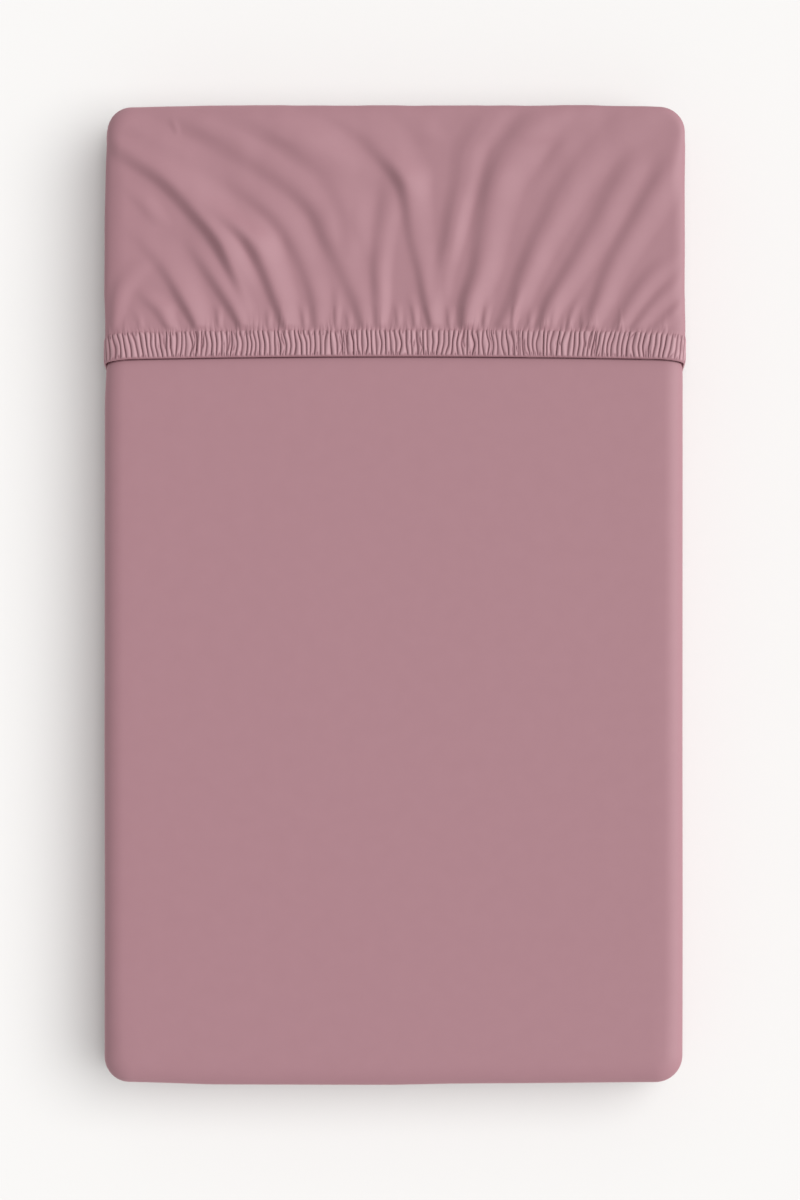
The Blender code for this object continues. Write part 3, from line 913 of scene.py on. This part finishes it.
def ridges(across, place):
    phase = math.pi * (across * fanAt(place) + swayAt(across, place)) / gather["pitch"]
    broad = np.abs(np.cos(phase))
    drift = softNoise(across / split["driftAcross"], place / split["driftAlong"], seeds["drift"])
    drift = split["drift"] * drift
    narrow = np.abs(np.sin(phase + drift))
    near = split["atEdge"] * (1 - eased(place / split["edgeReach"]))
    near = near + split["atStitches"] * (1 - eased((hem["band"] - place) / split["edgeReach"]))
    patches = softNoise(across / split["patchAcross"], place / split["patchAlong"], seeds["patches"])
    patches = patches - split["patchRare"]
    mask = eased(0.5 + split["patchSharp"] * patches + near)
    uneven = softNoise(across / gather["unevenAcross"], place / gather["unevenAlong"], seeds["uneven"])
    tall = 1 - gather["uneven"] + gather["uneven"] * uneven
    ridge = broad ** gather["bend"] * (1 - split["deep"] * mask * (1 - narrow ** gather["bend"]))
    # painted shade in the grooves, and in the split creases
    paintedShade = eased(1 - broad / gather["grooveWide"])
    paintedShade = paintedShade + split["dark"] * mask * eased(1 - narrow / split["grooveWide"])
    return ridge, tall, np.minimum(paintedShade, 1)


def bandRise(across, place):
    lip = eased((place - hem["lipFrom"]) / hem["lipLong"])
    end = gather["endUneven"] * softNoise(across / gather["endAcross"], 0 * across, seeds["ends"])
    full = eased((hem["band"] + gather["endPast"] + end - place) / gather["endLong"])
    crown = 1 - hem["crownDip"] * np.abs(2 * place / hem["band"] - 1) ** 3
    ridge, tall, paintedShade = ridges(across, place)
    relief = gather["rise"] * tall * ridge * upFrom(hem["lipLow"], lip) * upFrom(gather["endLow"], full)
    lifted = hem["base"] * crown + relief + (1 - lip) * hem["lipRise"]
    # painted highlight on the tops of the gathers, and painted shade in their grooves
    paintedHighlight = tall * eased((ridge - gather["paintedHighlightFrom"]) / (1 - gather["paintedHighlightFrom"]))
    tone = lip * upFrom(gather["endTone"], full) * (gather["paintedHighlightTone"] * paintedHighlight - paintedShade)
    return pocket["rise"] + heldAt(across) * lifted, tone


def pocketRise(across, along):
    past = along - hemLine(across) - hem["band"]
    held = heldAt(across)
    puff = pocket["puff"] * eased(past / pocket["puffFrom"]) * np.exp(-past / pocket["puffLong"]) * held
    wrinkle = softNoise(across / pocket["wrinkleAcross"], along / pocket["wrinkleAlong"], seeds["wrinkle"])
    wrinkle = pocket["wrinkle"] * wrinkle * eased(past / pocket["wrinkleFrom"])
    longer = softNoise(across / gather["tailAcross"], 0 * across, seeds["tails"])
    longer = np.clip(longer, 0, 1) ** gather["tailRare"]
    long = gather["tailLong"] * upFrom(gather["tailShort"], longer)
    tail = np.exp(-(np.maximum(past, 0) / long) ** gather["tailBend"])
    ridge, tall = ridges(across, hem["band"] + np.minimum(past, gather["tailHold"]))[:2]
    relief = gather["rise"] * gather["tailShare"] * tall * ridge * tail * held
    start = hem["base"] * (1 - hem["crownDip"]) * held * (1 - eased(past / pocket["baseLong"]))
    folds = foldHeight(across, along) * eased((past - pocket["foldsFrom"]) / pocket["foldsLong"])
    return pocket["rise"] + start + relief + puff + wrinkle + folds


# The rise of cloth that goes down into the seam, by how far it still is from the seam
def intoSeam(rise, away):
    share = eased(away / hem["seamLong"])
    return rise * share - hem["seamSunk"] * (1 - share)


def layBand(cloth):
    laid = []
    across = alongGathers(fineColumns, 0.0)
    for place, rise in hem["lipRows"]:
        lifted = rise + (hem["lipOnWall"] - rise) * (1 - heldAt(across)) * (rise > 0)
        # painted shade on the inside rows of the hem
        tone = np.full(across.size, -hem["lipDark"] * (rise < hem["lipShadeTo"]))
        laid.append((across, hemLine(across) + place, lifted, tone))
    for place in np.linspace(hem["rowsFrom"], hem["band"], hem["rows"]):
        across = alongGathers(fineColumns, place)
        laid.append((across, hemLine(across) + place, *bandRise(across, place)))
    for part in np.linspace(0, 1, pocket["tailRows"] + 1)[1:] ** pocket["tailBend"]:
        place = hem["band"] + part * pocket["tailReach"]
        across = fineColumns + (alongGathers(fineColumns, place) - fineColumns) * (1 - eased(part))
        along = hemLine(across) + place
        laid.append((across, along, pocketRise(across, along), 0 * across))
    across, along, rise, tone = np.array(laid).transpose(1, 0, 2)
    return addRows(cloth, across, along, intoSeam(rise, seamAt - np.abs(across)), tone)


def layPocketFace(cloth, bandEnd):
    start = hemLine(coarseColumns) + hem["band"] + pocket["tailReach"]
    share = np.linspace(0, 1, pocket["rows"] + 1)[1:, None]
    along = start + (headLine - start) * share
    across = np.broadcast_to(coarseColumns, along.shape)
    numbers = addRows(cloth, across, along, intoSeam(pocketRise(across, along), seamAt - np.abs(across)))
    for at in range(len(coarseColumns) - 1):
        first = pocket["coarser"] * at
        fineEdge = bandEnd[first:first + pocket["coarser"] + 1].tolist()
        cloth["faces"].append(fineEdge + [int(numbers[0, at + 1]), int(numbers[0, at])])


# the head wall and its two corners, from the same plane
def layHeadWall(cloth):
    faceColumns = coarseColumns[np.abs(coarseColumns) < halfFace]
    leftCorner, rightCorner = np.full(cornerTurns.size, -halfFace), np.full(cornerTurns.size, halfFace)
    stationX = np.concatenate([leftCorner, faceColumns, rightCorner])
    facingX = np.concatenate([-np.cos(cornerTurns), 0 * faceColumns, np.sin(cornerTurns)])
    facingY = np.concatenate([np.sin(cornerTurns), 0 * faceColumns + 1, np.cos(cornerTurns)])
    sideDowns = -coarseColumns[coarseColumns < -halfFace][::-1] - halfFace
    downs = np.concatenate([[0.0], sideDowns])[:, None]
    across = stationX + facingX * downs
    along = headLine + facingY * downs
    addRows(cloth, across, along, intoSeam(pocketRise(across, along), seamDown - downs))


bandNumbers = layBand(sheetCloth)
layPocketFace(sheetCloth, bandNumbers[-1])
layHeadWall(sheetCloth)
fittedSheet = makePiece("fittedSheet", sheetCloth, cotton)
print("sheet made:", len(fittedSheet.data.polygons), "faces")
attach(fittedSheet, "root")
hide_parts("sheet")

# Stitches of the seam that joins the pocket to the turned-up back
stitching = {
    "pitch": 0.0034,
    "long": 0.0025,
    "thick": 0.00028,
    "fromHem": 0.003,
    "aboveSeam": 0.0026,
    "sunk": -0.0004,  # the ends of a stitch go into the cloth
    "proud": 0.0002,
    # part of its length, share of its height
    "arch": [(0.0, 0.0), (0.15, 0.8), (0.5, 1.0), (0.85, 0.8), (1.0, 0.0)],
    "step": 0.003,
}


def seamPath(lift):
    side = evenly(hemLine(seamAt) + stitching["fromHem"], headLine, stitching["step"])
    end = evenly(-halfFace, halfFace, stitching["step"])
    sideX = np.full(side.size + cornerTurns.size, halfFace)
    stationX = np.concatenate([-sideX, end, sideX])
    stationY = np.concatenate([side, np.full(end.size + 2 * cornerTurns.size, headLine), side[::-1]])
    facing = np.concatenate([
        np.full(side.size, math.pi),
        math.pi - cornerTurns,
        np.full(end.size, math.pi / 2),
        math.pi / 2 - cornerTurns,
        0 * side,
    ])
    down = seamDown - stitching["aboveSeam"]
    across, along = stationX + np.cos(facing) * down, stationY + np.sin(facing) * down
    place = along - hemLine(across)
    rise = np.where(place < hem["band"], bandRise(across, place)[0], pocketRise(across, along))
    return wrap(across, along, intoSeam(rise, stitching["aboveSeam"]) + lift)


def pathAt(path, lengths, places):
    return np.stack([np.interp(places, lengths, path[:, axis]) for axis in range(3)], -1)


def makeStitches(name, material):
    sunk, proud = seamPath(stitching["sunk"]), seamPath(stitching["proud"])
    lengths = np.append(0.0, np.cumsum(np.linalg.norm(np.diff(sunk, axis=0), axis=1)))
    curve = bpy.data.curves.new(name, "CURVE")
    curve.dimensions = "3D"
    curve.bevel_depth = stitching["thick"]
    curve.bevel_resolution = 1
    curve.use_fill_caps = True
    parts, arch = np.array(stitching["arch"]).T
    for start in np.arange(0.0, lengths[-1] - stitching["long"], stitching["pitch"]):
        places = start + stitching["long"] * parts
        low, high = pathAt(sunk, lengths, places), pathAt(proud, lengths, places)
        points = low + (high - low) * arch[:, None]
        spline = curve.splines.new("POLY")
        spline.points.add(len(points) - 1)
        spline.points.foreach_set("co", np.hstack([points, np.ones((len(points), 1))]).ravel())
    curve.materials.append(material)
    stitches = bpy.data.objects.new(name, curve)
    bpy.context.scene.collection.objects.link(stitches)
    return stitches


seamStitches = makeStitches("seamStitches", thread)
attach(seamStitches, "root")
print("stitches made:", len(seamStitches.data.splines))

# Floor, light and camera
studio = {
    "floor": (0.50, 0.494, 0.487),
    "floorRoughness": 0.95,
    "floorRadius": 30,
    "floorSides": 96,
    "floorDown": 0.0003,
    "ambient": 0.57,
    "lampsAway": 3,
    "lens": 120,
    "sensor": 36,
    "clipEnd": 100,
    "framedHeight": 1.238,  # of the face plane
    "lookAt": (0.0066, -0.0052),
}

lamps = [
    # name, strength, angle, elevation, azimuth, what it lights
    ("clothKey", 2.64, 34, 40, 6, "cloth"),
    ("floorKey", 3.45, 52, 62, 16, "floor"),
    ("floorTop", 1.20, 20, 88, 0, "floor"),
]


def makeFloor():
    material, nodes, links, shader = newMaterial("pale floor")
    shader.inputs["Base Color"].default_value = (*studio["floor"], 1.0)
    shader.inputs["Roughness"].default_value = studio["floorRoughness"]
    shader.inputs["Specular IOR Level"].default_value = 0.0
    bpy.ops.mesh.primitive_circle_add(
        vertices=studio["floorSides"],
        radius=studio["floorRadius"],
        fill_type="NGON",
        location=(0, 0, -studio["floorDown"]),
    )
    floor = bpy.context.object
    floor.name = "floor"
    floor.data.materials.append(material)
    return floor


def makeWorld():
    world = bpy.data.worlds.new("studio")
    world.use_nodes = True
    setInputs(world.node_tree.nodes["Background"], {
        "Color": (1.0, 1.0, 1.0, 1.0),
        "Strength": studio["ambient"],
    })
    return world


def makeLamp(name, strength, angle, elevation, azimuth, pieces):
    lamp = bpy.data.lights.new(name, "SUN")
    lamp.energy = strength
    lamp.angle = math.radians(angle)
    sun = bpy.data.objects.new(name, lamp)
    height, side = math.radians(elevation), math.radians(azimuth)
    level = math.cos(height)
    towards = Vector((level * math.cos(side), level * math.sin(side), math.sin(height)))
    sun.rotation_euler = towards.to_track_quat("Z", "Y").to_euler()
    sun.location = towards * studio["lampsAway"]
    receivers = bpy.data.collections.new(name + "Lights")
    for piece in pieces:
        receivers.objects.link(piece)
    sun.light_linking.receiver_collection = receivers
    bpy.context.scene.collection.objects.link(sun)


def makeCamera():
    lens = bpy.data.cameras.new("camera")
    lens.lens = studio["lens"]
    lens.sensor_width = studio["sensor"]
    lens.clip_end = studio["clipEnd"]
    camera = bpy.data.objects.new("camera", lens)
    away = studio["framedHeight"] * studio["lens"] / studio["sensor"]
    camera.location = (*studio["lookAt"], faceHeight + away)
    bpy.context.scene.collection.objects.link(camera)
    return camera


floor = makeFloor()
bpy.context.scene.world = makeWorld()
lit = {"cloth": [fittedSheet, seamStitches, mattressPad], "floor": [floor]}
for name, strength, angle, elevation, azimuth, target in lamps:
    makeLamp(name, strength, angle, elevation, azimuth, lit[target])
bpy.context.scene.camera = makeCamera()
bpy.context.scene.view_settings.view_transform = "Standard"
print("floor, light and camera set")
